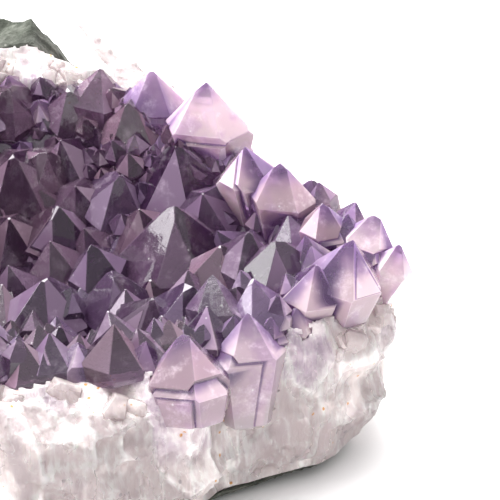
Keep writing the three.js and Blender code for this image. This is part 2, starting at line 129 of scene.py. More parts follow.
# The lesser crystals: how many, the least and the most width, and their heights as shares of the width.
FIELD_X, FIELD_Y = (-54, 58), (-42, 36)
SMALL_TRIES, FRINGE_NUMBER, SEED_NUMBER, EDGING_NUMBER = 1500, 34, 430, 190
SMALL_WIDTH, FRINGE_WIDTH, SEED_WIDTH, EDGING_WIDTH = (8, 13.5), (7, 12), (2.2, 5.5), (2.4, 6.5)
SMALL_HEIGHT, SEED_HEIGHT, EDGING_HEIGHT = (0.6, 0.75), (0.7, 1.25), (0.45, 0.95)

# Crystals on the flank of a larger one, in shares of its width, and how far they are turned from it.
GROWTH_WIDTH, GROWTH_DROP, GROWTH_ASIDE, GROWTH_LEAN = (0.2, 0.42), (0.62, 1.05), (0.34, 0.5), (-0.05, 0.45)
GROWTH_TWIST, GROWTH_LENGTH = 0.3, 1.9

# Steps where a crystal grew twice: how far aside and how far behind, in shares of its width.
HOLLOW_STEP, RIM_STEP = (0.06, 0.1), (0.11, 0.17)
TWIN_SIZE, TWIN_DROP, TWINNED_SHARE, STEPPED_UP_TO = 0.94, (0.6, 1.1), 0.6, 63

# Crystals grow paler towards the open right end, over a stretch from a place to the right of the middle.
FRINGE_PALE_FROM, SMALL_PALE_FROM, PALE_STRETCH, MOST_PALE = 25, 32, 30, 0.9
FRONT_RIM, FRONT_RIM_PALE = -25, 0.78

# Chips in shares of the width, and eased edges in millimetres on the thinnest and the usual crystal.
CHIP_DEPTH, MOST_CHIPS, CHIPPED_FROM = (0.004, 0.04), 3.4, 6
EASED, USUAL_WIDTH = (0.03, 0.09), 15

# Habit of quartz: each face of the point leans this far from the crystal's length.
POINT_LEAN = math.radians(38.2)
UNEVEN_SIDES = 0.22
UNEVEN_POINT = 0.04
LESSER_FACES = 0.03
ROOT_BURIED = 1.8
ROOT_TAPER = math.radians(12)

# Fixed scattered numbers. Each kind of crystal has its own first count, and each use its own purpose.
FOR_SIDE, FOR_POINT, FOR_WANDER_X, FOR_WANDER_Y, FOR_TURN = 5, 6, 7, 8, 9
FOR_PLACE_X, FOR_PLACE_Y, FOR_WIDTH, FOR_HEIGHT = 10, 11, 12, 13
FOR_FRINGE_TURN, FOR_FRINGE_PLACE, FOR_FRINGE_WIDTH, FOR_FRINGE_HEIGHT, FOR_TALL = 14, 15, 16, 17, 18
FOR_SEED_TURN, FOR_SEED_PLACE, FOR_SEED_WIDTH, FOR_SEED_HEIGHT = 21, 22, 23, 24
FOR_EDGING_TURN, FOR_EDGING_PLACE, FOR_EDGING_WIDTH, FOR_EDGING_HEIGHT, FOR_EDGING_PALE = 25, 26, 27, 28, 29
FOR_TINT, FOR_GROWTH_TURN, FOR_GROWTH_WIDTH, FOR_GROWTH_DROP = 30, 31, 32, 33
FOR_GROWTH_ASIDE, FOR_GROWTH_LEAN, FOR_GROWTH_TWIST = 34, 35, 36
FOR_TWIN_TURN, FOR_TWIN_DROP, FOR_CHIPS, FOR_CHIP_DEPTH, FOR_TONE, FOR_TWINNED = 37, 38, 39, 40, 41, 42
FOR_CHIP_PLACE = 50
FIRST_RIM, FIRST_SMALL, FIRST_FRINGE = 100, 200, 2000
FIRST_GROWTH, FIRST_TWIN, FIRST_SEED, FIRST_EDGING = 5000, 9000, 12000, 16000


def scatter(count, purpose):
    return (math.sin(count * 12.9898 + purpose * 78.233) * 43758.5453) % 1


def between(least, most, share):
    return least + (most - least) * share


def around(table, angle):
    place = angle / math.tau % 1 * len(table)
    step = math.floor(place)
    part = place - step
    before, here, after, beyond = (table[(step + shift) % len(table)] for shift in (-1, 0, 1, 2))
    ease = part * part * (3 - 2 * part)
    leave = (after - before) / 2 * part * (1 - part) ** 2
    arrive = (beyond - here) / 2 * part * part * (part - 1)
    return between(here, after, ease) + leave + arrive


def inner_radius(angle):
    return around(OUTER_RADIUS, angle) - around(RIM_WIDTH, angle)


def bed_height(x, y):
    """Height of the surface that crystals stand on: the hollow, and past its edge the rim."""
    across = Vector((x, y)) - HOLLOW_CENTRE.xy
    angle = math.atan2(across.y, across.x)
    share = across.length / inner_radius(angle)
    if share < 1:
        return between(HOLLOW_FLOOR, around(EDGE_HEIGHT, angle), share * share)
    past = (across.length - inner_radius(angle)) / around(RIM_WIDTH, angle)
    return between(around(EDGE_HEIGHT, angle), around(OUTER_HEIGHT, angle), min(past, 1))


def square_on(x, y):
    slope_x = bed_height(x + 0.5, y) - bed_height(x - 0.5, y)
    slope_y = bed_height(x, y + 0.5) - bed_height(x, y - 0.5)
    return Vector((-slope_x, -slope_y, 1)).normalized()


class Crystal:
    """One crystal, with the plane that ends its root and how pale it is from tip to root."""

    def __init__(self, tip, axis, width, turn, count, foot, plain=False, taper=0.0, pale=0.0):
        self.tip, self.axis, self.width, self.turn = tip, axis, width, turn
        self.count, self.foot, self.plain, self.taper, self.pale = count, foot, plain, taper, pale
        square = square_on(foot.x, foot.y)
        self.root = foot - square * ROOT_BURIED
        self.root_normal = -square


def foot_of(tip, axis):
    foot = tip.copy()
    while foot.z > bed_height(foot.x, foot.y):
        foot -= axis * 0.25
    return foot


def large_crystal(entry, count):
    tip, width, lean, turn = entry
    tip, axis = Vector(tip), Vector((*lean, 1)).normalized()
    return Crystal(tip, axis, width, math.radians(turn), count, foot_of(tip, axis))


def rim_crystal(entry, place):
    tip, width, lean, turn, length = entry
    tip, axis = Vector(tip), Vector((*lean, 1)).normalized()
    made = Crystal(tip, axis, width, math.radians(turn), FIRST_RIM + place, tip - axis * length / 2)
    made.taper = ROOT_TAPER
    made.pale = FRONT_RIM_PALE if tip.y < FRONT_RIM else 1.0
    made.root, made.root_normal = tip - axis * length, -axis
    return made


def paleness(x, start):
    return min(max((x - start) / PALE_STRETCH, 0), MOST_PALE)


def small_crystal(x, y, width, height, upright, count):
    axis = square_on(x, y).lerp(Vector((0, 0, 1)), upright)
    axis.x += 0.3 * (scatter(count, FOR_WANDER_X) - 0.5)
    axis.y += 0.3 * (scatter(count, FOR_WANDER_Y) - 0.5)
    axis.normalize()
    foot = Vector((x, y, bed_height(x, y)))
    turn = scatter(count, FOR_TURN) * math.tau
    made = Crystal(foot + axis * height, axis, width, turn, count, foot, plain=height < width * 0.75)
    made.pale = paleness(x, SMALL_PALE_FROM)
    return made


def is_crowded(x, y, large):
    return any(math.hypot(c.foot.x - x, c.foot.y - y) < c.width * 0.42 for c in large)


def small_crystals(large):
    found = []
    for count in range(FIRST_SMALL, FIRST_SMALL + SMALL_TRIES):
        x = between(*FIELD_X, scatter(count, FOR_PLACE_X))
        y = between(*FIELD_Y, scatter(count, FOR_PLACE_Y))
        across = Vector((x, y)) - HOLLOW_CENTRE.xy
        width = between(*SMALL_WIDTH, scatter(count, FOR_WIDTH))
        fits = across.length + width * 0.45 < inner_radius(math.atan2(across.y, across.x))
        if not fits or is_crowded(x, y, large):
            continue
        foot = Vector((x, y, bed_height(x, y)))
        if any((c.foot - foot).length < 0.74 * (c.width + width) / 2 for c in found):
            continue
        tall = 0.4 if scatter(count, FOR_TALL) < 0.25 else 0
        height = width * (between(*SMALL_HEIGHT, scatter(count, FOR_HEIGHT)) + tall)
        found.append(small_crystal(x, y, width, height, 0.25, count))
    return found


def fringe_crystals(large):
    found = []
    for place in range(FRINGE_NUMBER):
        count = FIRST_FRINGE + place
        angle = math.tau * (place + 0.7 * scatter(count, FOR_FRINGE_TURN)) / FRINGE_NUMBER
        radius = inner_radius(angle) + between(-4, 1.5, scatter(count, FOR_FRINGE_PLACE))
        x = HOLLOW_CENTRE.x + radius * math.cos(angle)
        y = HOLLOW_CENTRE.y + radius * math.sin(angle)
        if not is_crowded(x, y, large):
            width = between(*FRINGE_WIDTH, scatter(count, FOR_FRINGE_WIDTH))
            height = width * between(*SMALL_HEIGHT, scatter(count, FOR_FRINGE_HEIGHT))
            grown = small_crystal(x, y, width, height, 0.6, count)
            grown.pale = paleness(x, FRINGE_PALE_FROM)
            found.append(grown)
    return found


def planes_of(crystal):
    """Normals and reaches of the faces: six sides, six faces of the point and the root."""
    axis = crystal.axis
    across = (Vector((1, 0, 0)) - axis * axis.x).normalized()
    beside = axis.cross(across)
    planes = []
    for side in range(6):
        angle = crystal.turn + math.tau * side / 6
        outward = across * math.cos(angle) + beside * math.sin(angle)
        number = crystal.count * 6 + side
        half = crystal.width / 2 * (1 + UNEVEN_SIDES * (scatter(number, FOR_SIDE) - 0.5))
        shoulder = crystal.tip - axis * half / math.tan(POINT_LEAN) + outward * half
        normal = outward * math.cos(crystal.taper) - axis * math.sin(crystal.taper)
        planes.append((normal, normal.dot(shoulder)))
        face = outward * math.cos(POINT_LEAN) + axis * math.sin(POINT_LEAN)
        uneven = UNEVEN_POINT * (scatter(number, FOR_POINT) - 0.5)
        step = 0 if crystal.plain else crystal.width * (side % 2 * LESSER_FACES + uneven)
        planes.append((face, face.dot(crystal.tip) + step))
    planes.append((crystal.root_normal, crystal.root_normal.dot(crystal.root)))
    return planes


def corners_of(planes):
    """The points where three faces meet and that no other face cuts off."""
    normals = np.array([normal for normal, reach in planes])
    reaches = np.array([reach for normal, reach in planes])
    first, second, third = np.array(
        [(i, j, k) for i in range(len(planes)) for j in range(i) for k in range(j)]
    ).T
    solvable = np.abs(np.linalg.det(normals[np.stack([first, second, third], 1)])) > 1e-6
    triples = np.stack([first, second, third], 1)[solvable]
    points = np.linalg.solve(normals[triples], reaches[triples][..., None])[..., 0]
    inside = (points @ normals.T < reaches + 1e-6).all(1)
    kept = []
    for point in points[inside]:
        if all(np.linalg.norm(point - other) > 1e-3 for other in kept):
            kept.append(point)
    return kept


def with_chip(planes, corner, crystal, purpose, depth):
    """One more face, which cuts a corner off as a knock would."""
    heart = crystal.tip - crystal.axis * crystal.width * 0.6
    wander = Vector(scatter(crystal.count, purpose + shift) - 0.5 for shift in (1, 2, 3))
    normal = ((Vector(corner) - heart).normalized() + wander * 0.8).normalized()
    return planes + [(normal, normal.dot(corner) - depth)]


def chipped_planes(crystal, chips):
    """The crystal's faces and its chips: the first at the tip, the others at any corner."""
    planes = planes_of(crystal)
    corners = corners_of(planes)
    corners.sort(key=lambda corner: -crystal.axis.dot(corner))
    for chip in range(chips):
        purpose = FOR_CHIP_PLACE + 4 * chip
        place = 0 if chip == 0 else int(scatter(crystal.count, purpose) * len(corners))
        depth = crystal.width * between(*CHIP_DEPTH, scatter(crystal.count, FOR_CHIP_DEPTH + chip) ** 2)
        planes = with_chip(planes, corners[place], crystal, purpose, depth)
    return planes


# A face that is within a share of a plane's direction belongs to it, and the others are eased edges.
FACES_OF_A_CRYSTAL = 13
FLUSH = 0.9995
TONE_SPREAD, MAJOR_DEEPER = 0.45, 0.5


def face_tones(crystal, planes, normals):
    """For each face of the mesh: how deep its colour is from 0 to 1, and whether it is a chip."""
    match = normals @ np.array([normal for normal, reach in planes]).T
    owner = match.argmax(1)
    eased = match.max(1) < FLUSH
    tones = np.empty(len(normals))
    for place, number in enumerate(owner):
        side, is_point = divmod(int(number), 2)
        chance = scatter(crystal.count * FACES_OF_A_CRYSTAL + int(number), FOR_TONE)
        is_lesser = is_point and side % 2
        tones[place] = TONE_SPREAD * chance + (0 if is_lesser else MAJOR_DEEPER)
    tones[eased] = MAJOR_DEEPER
    return tones, (owner >= FACES_OF_A_CRYSTAL) & ~eased


def convex_mesh(planes, ease, name):
    """A closed convex body with eased edges, from the planes of its faces."""
    body = bmesh.new()
    for corner in corners_of(planes):
        body.verts.new(corner)
    bmesh.ops.convex_hull(body, input=body.verts[:])
    bmesh.ops.dissolve_limit(body, angle_limit=0.01, verts=body.verts, edges=body.edges)
    bmesh.ops.recalc_face_normals(body, faces=body.faces)
    bmesh.ops.bevel(body, geom=body.edges[:], offset=ease, segments=1, affect="EDGES", clamp_overlap=True)
    mesh = bpy.data.meshes.new(name)
    body.to_mesh(mesh)
    body.free()
    return mesh


def points_of(mesh):
    flat = np.empty(len(mesh.vertices) * 3)
    mesh.vertices.foreach_get("co", flat)
    return flat.reshape(-1, 3)


def move_into_frame(mesh):
    """From millimetres round the hollow to metres in the frame."""
    mesh.vertices.foreach_set("co", ((points_of(mesh) - np.array(OUTLINE_MIDDLE)) * MM).ravel())


def crystal_mesh(crystal, ease, chips, name):
    """One crystal. Its points know how far behind the tip they lie, and its faces their colour."""
    planes = chipped_planes(crystal, chips)
    mesh = convex_mesh(planes, ease, name)
    tones, chipped = face_tones(crystal, planes, np.array([face.normal[:] for face in mesh.polygons]))
    behind = (np.array(crystal.tip) - points_of(mesh)) @ np.array(crystal.axis)
    add_values(mesh, "behind_tip", "POINT", behind)
    add_values(mesh, "face_depth", "FACE", tones)
    add_values(mesh, "crystal_tint", "FACE", np.full(len(tones), scatter(crystal.count, FOR_TINT)))
    add_values(mesh, "crystal_pale", "FACE", np.full(len(tones), crystal.pale))
    add_values(mesh, "chipped", "FACE", chipped)
    move_into_frame(mesh)
    return mesh


def add_values(mesh, name, domain, values):
    layer = mesh.attributes.new(name, "FLOAT", domain)
    layer.data.foreach_set("value", np.asarray(values, np.float32))


def ring_body(name, rows, segments):
    """A closed body round the hollow's centre, from rows that each give (radius, height) at an angle."""
    body = bmesh.new()
    rings = []
    for row in rows:
        ring = []
        for segment in range(segments):
            angle = math.tau * segment / segments
            radius, height = row(angle)
            x = radius * math.cos(angle)
            y = HOLLOW_CENTRE.y + radius * math.sin(angle)
            ring.append(body.verts.new((x, y, height)))
        rings.append(ring)
    for lower, upper in zip(rings, rings[1:]):
        for here in range(segments):
            there = (here + 1) % segments
            body.faces.new((lower[here], lower[there], upper[there], upper[here]))
    for ring, turned in ((rings[0], True), (rings[-1], False)):
        middle = body.verts.new(sum((vert.co for vert in ring), Vector()) / segments)
        for here in range(segments):
            there = (here + 1) % segments
            body.faces.new((ring[there], ring[here], middle) if turned else (ring[here], ring[there], middle))
    bmesh.ops.recalc_face_normals(body, faces=body.faces)
    mesh = bpy.data.meshes.new(name)
    body.to_mesh(mesh)
    body.free()
    return mesh


def side_growths(crystal, number):
    """Lesser crystals grown on the flank of a larger one, in nearly the same direction."""
    found = []
    across = (Vector((1, 0, 0)) - crystal.axis * crystal.axis.x).normalized()
    beside = crystal.axis.cross(across)
    for place in range(number):
        count = FIRST_GROWTH + crystal.count * 10 + place
        angle = math.tau * (place + scatter(count, FOR_GROWTH_TURN)) / number
        outward = across * math.cos(angle) + beside * math.sin(angle)
        if crystal.pale and outward.y < 0.2:
            continue
        width = crystal.width * between(*GROWTH_WIDTH, scatter(count, FOR_GROWTH_WIDTH))
        drop = crystal.width * between(*GROWTH_DROP, scatter(count, FOR_GROWTH_DROP))
        aside = between(*GROWTH_ASIDE, scatter(count, FOR_GROWTH_ASIDE))
        tip = crystal.tip - crystal.axis * drop + outward * crystal.width * aside
        if tip.z < bed_height(tip.x, tip.y):
            continue
        lean = between(*GROWTH_LEAN, scatter(count, FOR_GROWTH_LEAN))
        axis = (crystal.axis + outward * lean).normalized()
        turn = crystal.turn + GROWTH_TWIST * scatter(count, FOR_GROWTH_TWIST)
        grown = Crystal(tip, axis, width, turn, count, tip - axis * width)
        grown.root, grown.root_normal = tip - axis * width * GROWTH_LENGTH, -axis
        grown.taper, grown.pale = ROOT_TAPER, crystal.pale
        found.append(grown)
    return found


def stepped_twin(crystal, place, aside, behind):
    """The same crystal grown twice, a little aside and behind, which leaves a step on its faces."""
    count = FIRST_TWIN + crystal.count * 4 + place
    angle = math.tau * scatter(count, FOR_TWIN_TURN)
    across = (Vector((1, 0, 0)) - crystal.axis * crystal.axis.x).normalized()
    outward = across * math.cos(angle) + crystal.axis.cross(across) * math.sin(angle)
    tip = crystal.tip + outward * crystal.width * aside
    tip -= crystal.axis * crystal.width * behind * between(*TWIN_DROP, scatter(count, FOR_TWIN_DROP))
    width = crystal.width * TWIN_SIZE
    twin = Crystal(tip, crystal.axis, width, crystal.turn, count, crystal.foot, taper=crystal.taper)
    twin.root, twin.root_normal, twin.pale = crystal.root, crystal.root_normal, crystal.pale
    return twin


def seed_crystals(number):
    """The smallest crystals, between the feet of the others and on the edge of the hollow."""
    found = []
    for place in range(number):
        count = FIRST_SEED + place
        angle = math.tau * scatter(count, FOR_SEED_TURN)
        radius = (inner_radius(angle) + 0.5) * scatter(count, FOR_SEED_PLACE) ** 0.4
        x = HOLLOW_CENTRE.x + radius * math.cos(angle)
        y = HOLLOW_CENTRE.y + radius * math.sin(angle)
        width = between(*SEED_WIDTH, scatter(count, FOR_SEED_WIDTH))
        height = width * between(*SEED_HEIGHT, scatter(count, FOR_SEED_HEIGHT))
        found.append(small_crystal(x, y, width, height, 0.3, count))
    return found


def edge_crystals(number):
    """Pale little crystals where the lining ends against the quartz."""
    found = []
    for place in range(number):
        count = FIRST_EDGING + place
        angle = math.tau * (place + scatter(count, FOR_EDGING_TURN)) / number
        radius = inner_radius(angle) + between(-2.5, 1.2, scatter(count, FOR_EDGING_PLACE))
        x = HOLLOW_CENTRE.x + radius * math.cos(angle)
        y = HOLLOW_CENTRE.y + radius * math.sin(angle)
        width = between(*EDGING_WIDTH, scatter(count, FOR_EDGING_WIDTH) ** 1.5)
        height = width * between(*EDGING_HEIGHT, scatter(count, FOR_EDGING_HEIGHT))
        grown = small_crystal(x, y, width, height, 0.5, count)
        grown.root, grown.root_normal = grown.foot - grown.axis * ROOT_BURIED, -grown.axis
        grown.pale = max(grown.pale, between(0.1, 0.95, scatter(count, FOR_EDGING_PALE)))
        found.append(grown)
    return found


large = [large_crystal(entry, count) for count, entry in enumerate(FRONT_ROW + BACK_WALL + LEFT_HALF)]
rim = [rim_crystal(entry, place) for place, entry in enumerate(RIM_ROW)]
small = small_crystals(large + rim)
fringe = fringe_crystals(large + rim)
main = large + rim + small + fringe
grown_on = [grown for crystal in main for grown in side_growths(crystal, 5 if crystal.width > 9 else 3)]
twins = [
    stepped_twin(crystal, 0, *HOLLOW_STEP)
    for crystal in large
    if scatter(crystal.count, FOR_TWINNED) < TWINNED_SHARE
]
twins += [
    stepped_twin(crystal, place, *RIM_STEP)
    for crystal in rim
    if crystal.tip.x < STEPPED_UP_TO
    for place in (1, 2)
]

crystals = bpy.data.collections.new("crystals")
for crystal in main + twins + grown_on + seed_crystals(SEED_NUMBER) + edge_crystals(EDGING_NUMBER):
    ease = between(*EASED, crystal.width / USUAL_WIDTH)
    chips = int(MOST_CHIPS * scatter(crystal.count, FOR_CHIPS)) if crystal.width > CHIPPED_FROM else 0
    mesh = crystal_mesh(crystal, ease, chips, f"crystal_{crystal.count}")
    crystals.objects.link(bpy.data.objects.new(mesh.name, mesh))



def bed_row(share, depth):
    """One ring of the thin layer that the crystals stand on."""
    def place_at(angle):
        height = between(HOLLOW_FLOOR, around(EDGE_HEIGHT, angle), share * share)
        return inner_radius(angle) * share, height - depth
    return place_at


BED_SHARES, BED_SEGMENTS = (0.1, 0.4, 0.7, 1), 90
rows = [bed_row(share, CRUST_DEPTH) for share in BED_SHARES]
rows += [bed_row(share, 0) for share in reversed(BED_SHARES)]
bed = ring_body("amethyst_crust_fine", rows, BED_SEGMENTS)
add_values(bed, "behind_tip", "POINT", np.full(len(bed.vertices), 7))
for name, value in (("face_depth", 0.8), ("crystal_tint", 0.5), ("crystal_pale", 0.1), ("chipped", 0)):
    add_values(bed, name, "FACE", np.full(len(bed.polygons), value))
move_into_frame(bed)
crust = bpy.data.objects.new("amethyst_crust_fine", bed)
bpy.context.scene.collection.objects.link(crust)


def settled(piece):
    """The piece with its modifiers worked into its mesh."""
    graph = bpy.context.evaluated_depsgraph_get()
    mesh = bpy.data.meshes.new_from_object(piece.evaluated_get(graph), depsgraph=graph)
    piece.modifiers.clear()
    piece.data = mesh
    return mesh


def grow_together(piece, bodies):
    """Joins the bodies of a collection to the piece, as one solid."""
    join = piece.modifiers.new("grown_together", "BOOLEAN")
    join.operation, join.solver = "UNION", "MANIFOLD"
    join.operand_type, join.collection = "COLLECTION", bodies
    settled(piece)
    for body in list(bodies.objects):
        bpy.data.objects.remove(body)


grow_together(crust, crystals)
crust.data.shade_flat()


def paint(name):
    """A new material, its node tree and its shader."""
    material = bpy.data.materials.new(name)
    material.use_nodes = True
    tree = material.node_tree
    return material, tree, tree.nodes["Principled BSDF"]


def add_node(tree, kind, values=(), **settings):
    """A node with its settings, and its input sockets set to values or linked to other nodes' sockets."""
    made = tree.nodes.new("ShaderNode" + kind)
    for name, setting in settings.items():
        setattr(made, name, setting)
    for socket, value in dict(values).items():
        if isinstance(value, bpy.types.NodeSocket):
            tree.links.new(value, made.inputs[socket])
        else:
            made.inputs[socket].default_value = value
    return made


def math_node(tree, operation, first, second=0.0, third=0.0):
    return add_node(tree, "Math", {0: first, 1: second, 2: third}, operation=operation).outputs[0]


def blended(tree, factor, first, second, kind="MIX"):
    made = add_node(tree, "Mix", {0: factor, 6: first, 7: second}, data_type="RGBA", blend_type=kind)
    return made.outputs[2]


def ramped(tree, value, low, high, out_low=0.0, out_high=1.0):
    sockets = {0: value, 1: low, 2: high, 3: out_low, 4: out_high}
    return add_node(tree, "MapRange", sockets, interpolation_type="SMOOTHSTEP").outputs[0]


def attribute(tree, name):
    return add_node(tree, "Attribute", attribute_name=name).outputs["Fac"]


def mottling(tree, place, scale, detail, roughness=0.5, distortion=0.0):
    sockets = {"Vector": place, "Scale": scale, "Detail": detail}
    sockets["Roughness"], sockets["Distortion"] = roughness, distortion
    return add_node(tree, "TexNoise", sockets).outputs[0]


def spots(tree, place, scale):
    """Distance to the nearest of many scattered spots."""
    return add_node(tree, "TexVoronoi", {"Vector": place, "Scale": scale}).outputs["Distance"]


DEEP_VIOLET, DEEP_WINE = (0.060, 0.015, 0.085, 1), (0.085, 0.030, 0.082, 1)
LIGHT_VIOLET, LIGHT_ROSE = (0.33, 0.22, 0.39, 1), (0.40, 0.25, 0.33, 1)
ROOT_LIGHT, ROOT_DARK = (0.46, 0.35, 0.49, 1), (0.27, 0.16, 0.29, 1)
RIM_TIP_LIGHT, RIM_TIP_DARK = (0.42, 0.27, 0.52, 1), (0.24, 0.11, 0.34, 1)
RIM_PINK, RIM_PLUM = (0.89, 0.71, 0.76, 1), (0.43, 0.28, 0.34, 1)
RIM_STAIN, RIM_END = (0.53, 0.33, 0.54, 1), (0.66, 0.58, 0.58, 1)
VEIL_WHITE, CHIP_WHITE, DUST_WHITE = (0.76, 0.68, 0.73, 1), (0.80, 0.75, 0.80, 1), (0.88, 0.84, 0.86, 1)
QUARTZ_IOR = 1.544

amethyst, tree, shader = paint("amethyst")
place = add_node(tree, "TexCoord").outputs["Object"]
behind = attribute(tree, "behind_tip")
depth = attribute(tree, "face_depth")
tint = attribute(tree, "crystal_tint")
pale = attribute(tree, "crystal_pale")
chipped = attribute(tree, "chipped")
clouds = mottling(tree, place, 110, 3, 0.55)
veils = mottling(tree, place, 260, 6, 0.7)
stains = mottling(tree, place, 170, 4)

# Violet in the hollow, deep at the tips and on the major faces, and paler towards the roots.
zone = math_node(tree, "MULTIPLY_ADD", clouds, 7.0, behind)
deep = blended(tree, tint, DEEP_VIOLET, DEEP_WINE)
light = blended(tree, tint, LIGHT_VIOLET, LIGHT_ROSE)
tip_tone = blended(tree, depth, light, deep)
root_tone = blended(tree, depth, ROOT_LIGHT, ROOT_DARK)
violet = blended(tree, ramped(tree, zone, 5.0, 17.0), tip_tone, root_tone)

# On the rim only the tips are violet, and the rest is pink, stained and nearly white at the end.
rim_rooted = ramped(tree, zone, 3.0, 8.0)
rim_tip = blended(tree, depth, RIM_TIP_LIGHT, RIM_TIP_DARK)
rim_root = blended(tree, tint, RIM_PINK, RIM_PLUM)
rim_root = blended(tree, ramped(tree, stains, 0.50, 0.66, 0, 0.55), rim_root, RIM_STAIN)
rim_tone = blended(tree, rim_rooted, rim_tip, rim_root)
rim_tone = blended(tree, ramped(tree, behind, 11.0, 17.0), rim_tone, RIM_END)

# White veils inside, worn chips, and dust in the gaps.
milk = ramped(tree, veils, 0.50, 0.80)
veiled = math_node(tree, "MULTIPLY", milk, math_node(tree, "MULTIPLY_ADD", pale, 0.35, 0.35))
dusty = ramped(tree, spots(tree, place, 420), 0.10, 0.05)
dusty = math_node(tree, "MULTIPLY", dusty, ramped(tree, veils, 0.45, 0.6))
colour = blended(tree, pale, violet, rim_tone)
colour = blended(tree, veiled, colour, VEIL_WHITE)
colour = blended(tree, math_node(tree, "MULTIPLY", chipped, 0.6), colour, CHIP_WHITE)
colour = blended(tree, dusty, colour, DUST_WHITE)
tree.links.new(colour, shader.inputs["Base Color"])

# Clear where the colour is deep, and cloudier in veils, chips and the pale roots of the rim.
clear = math_node(tree, "MULTIPLY_ADD", milk, -0.3, ramped(tree, depth, 0.1, 0.8, 0.5, 0.82))
clear = math_node(tree, "MULTIPLY_ADD", math_node(tree, "MULTIPLY", pale, rim_rooted), -0.3, clear)
clear = math_node(tree, "MULTIPLY_ADD", chipped, -0.35, clear)
tree.links.new(clear, shader.inputs["Transmission Weight"])
rough = math_node(tree, "MULTIPLY_ADD", milk, 0.10, 0.05)
rough = math_node(tree, "MULTIPLY_ADD", chipped, 0.3, rough)
tree.links.new(rough, shader.inputs["Roughness"])
shader.inputs["IOR"].default_value = QUARTZ_IOR
tree.links.new(math_node(tree, "MULTIPLY", pale, 0.7), shader.inputs["Subsurface Weight"])
shader.inputs["Subsurface Radius"].default_value = (0.005, 0.004, 0.0055)
shader.inputs["Subsurface Scale"].default_value = 1.0

# Faint growth lines across each crystal, and fine pits.
along = math_node(tree, "MULTIPLY", behind, 2.2)
own_lines = math_node(tree, "MULTIPLY", tint, 80)
lines = add_node(tree, "CombineXYZ", {0: along, 1: own_lines}).outputs[0]
growth = mottling(tree, lines, 1, 3)
pits = mottling(tree, place, 900, 3)
relief = math_node(tree, "MULTIPLY_ADD", pits, 0.6, growth)
grain = add_node(tree, "Bump", {"Strength": 0.12, "Distance": 0.0002, "Height": relief})
tree.links.new(grain.outputs[0], shader.inputs["Normal"])
absorption = add_node(tree, "VolumeAbsorption", {"Color": (0.56, 0.44, 0.60, 1), "Density": 80.0})
tree.links.new(absorption.outputs[0], tree.nodes["Material Output"].inputs["Volume"])
crust.data.materials.clear()
crust.data.materials.append(amethyst)
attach(crust, "root")
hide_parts("amethyst_crust")


# Quartz wall
# The pale wall that the amethyst grew on: columns of milky quartz, side by side and square to the hollow,
# broken off all round. The break leaves flat ends, ledges and splintered edges that glitter.
def remeshed_copy(node, name, grid):
    """A closed copy of a CAD node with an even, fine mesh."""
    piece = bpy.data.objects.new(name, frame["nodes"][node].data.copy())
    bpy.context.scene.collection.objects.link(piece)
    weld = piece.modifiers.new("weld", "WELD")
    weld.merge_threshold = 1e-6
    even = piece.modifiers.new("even", "REMESH")
    even.mode, even.voxel_size = "VOXEL", grid * MM
    settled(piece)
    return piece


def surface_of(node):
    mesh = frame["nodes"][node].data
    return BVHTree.FromPolygons([v.co for v in mesh.vertices], [f.vertices for f in mesh.polygons])


def normals_of(mesh):
    flat = np.empty(len(mesh.vertices) * 3)
    mesh.vertex_normals.foreach_get("vector", flat)
    return flat.reshape(-1, 3)


def distance_to(tree_of_node, points, most):
    """Distance in millimetres from each point to a node's surface, up to a most."""
    found = np.full(len(points), float(most))
    for place, point in enumerate(points):
        hit = tree_of_node.find_nearest(Vector(point), most * MM)
        if hit[3] is not None:
            found[place] = hit[3] / MM
    return found


def smooth_share(values, low, high):
    share = np.clip((values - low) / (high - low), 0, 1)
    return share * share * (3 - 2 * share)


class Cells:
    """Scattered cells in a stretched space, each with a flat, tilted face: broken columns of quartz."""

    def __init__(self, places, tilt, relief, seed):
        chance = np.random.default_rng(seed)
        low, high = places.min(0) - 1, places.max(0) + 1
        count = int(np.prod(high - low))
        self.seeds = chance.uniform(low, high, (count, 3))
        near = kdtree.KDTree(count)
        for place, point in enumerate(self.seeds):
            near.insert(point, place)
        near.balance()
        nearest = [near.find_n(point, 2) for point in places]
        owners = np.array([first[1] for first, second in nearest])
        self.margin = np.array([second[2] - first[2] for first, second in nearest])
        tilts = chance.normal(0, tilt, (count, 3))
        heights = chance.uniform(-relief, relief, count)
        self.height = heights[owners] + ((places - self.seeds[owners]) * tilts[owners]).sum(1)
        self.tone = chance.uniform(0, 1, count)[owners]


COLUMN_LEAN = math.radians(22)
COLUMN_RING = 52


def column_places(points, across, along):
    """Where points lie round the hollow, across the columns and along them, in cells."""
    x = points[:, 0] / MM + OUTLINE_MIDDLE.x - HOLLOW_CENTRE.x
    y = points[:, 1] / MM + OUTLINE_MIDDLE.y - HOLLOW_CENTRE.y
    z = points[:, 2] / MM
    radius = np.hypot(x, y)
    round_it = np.arctan2(y, x) * COLUMN_RING
    inward = radius * math.cos(COLUMN_LEAN) + z * math.sin(COLUMN_LEAN)
    up = z * math.cos(COLUMN_LEAN) - radius * math.sin(COLUMN_LEAN)
    return np.stack([round_it / across, inward / across, up / along], 1)


# Shards of broken quartz on the crest of the wall.
SHARDS, SHARD_FACES = 70, 11
SHARD_SIZE, SHARD_REACH, SHARD_APART, SHARD_SUNK, SHARD_EASE = (1.3, 3.2), (0.5, 1.0), 1.8, 1.1, 0.08
TURN_TO_NEXT_FACE = 2.4
FOR_SHARD_SIZE, FOR_SHARD_TURN, FOR_SHARD_REACH, FOR_SHARD_PLACE = 76, 77, 78, 81
FOR_SHARD_TONE, FOR_SHARD_GLINT = 82, 83
FIRST_SHARD, FIRST_SHARD_TONE = 30000, 1000


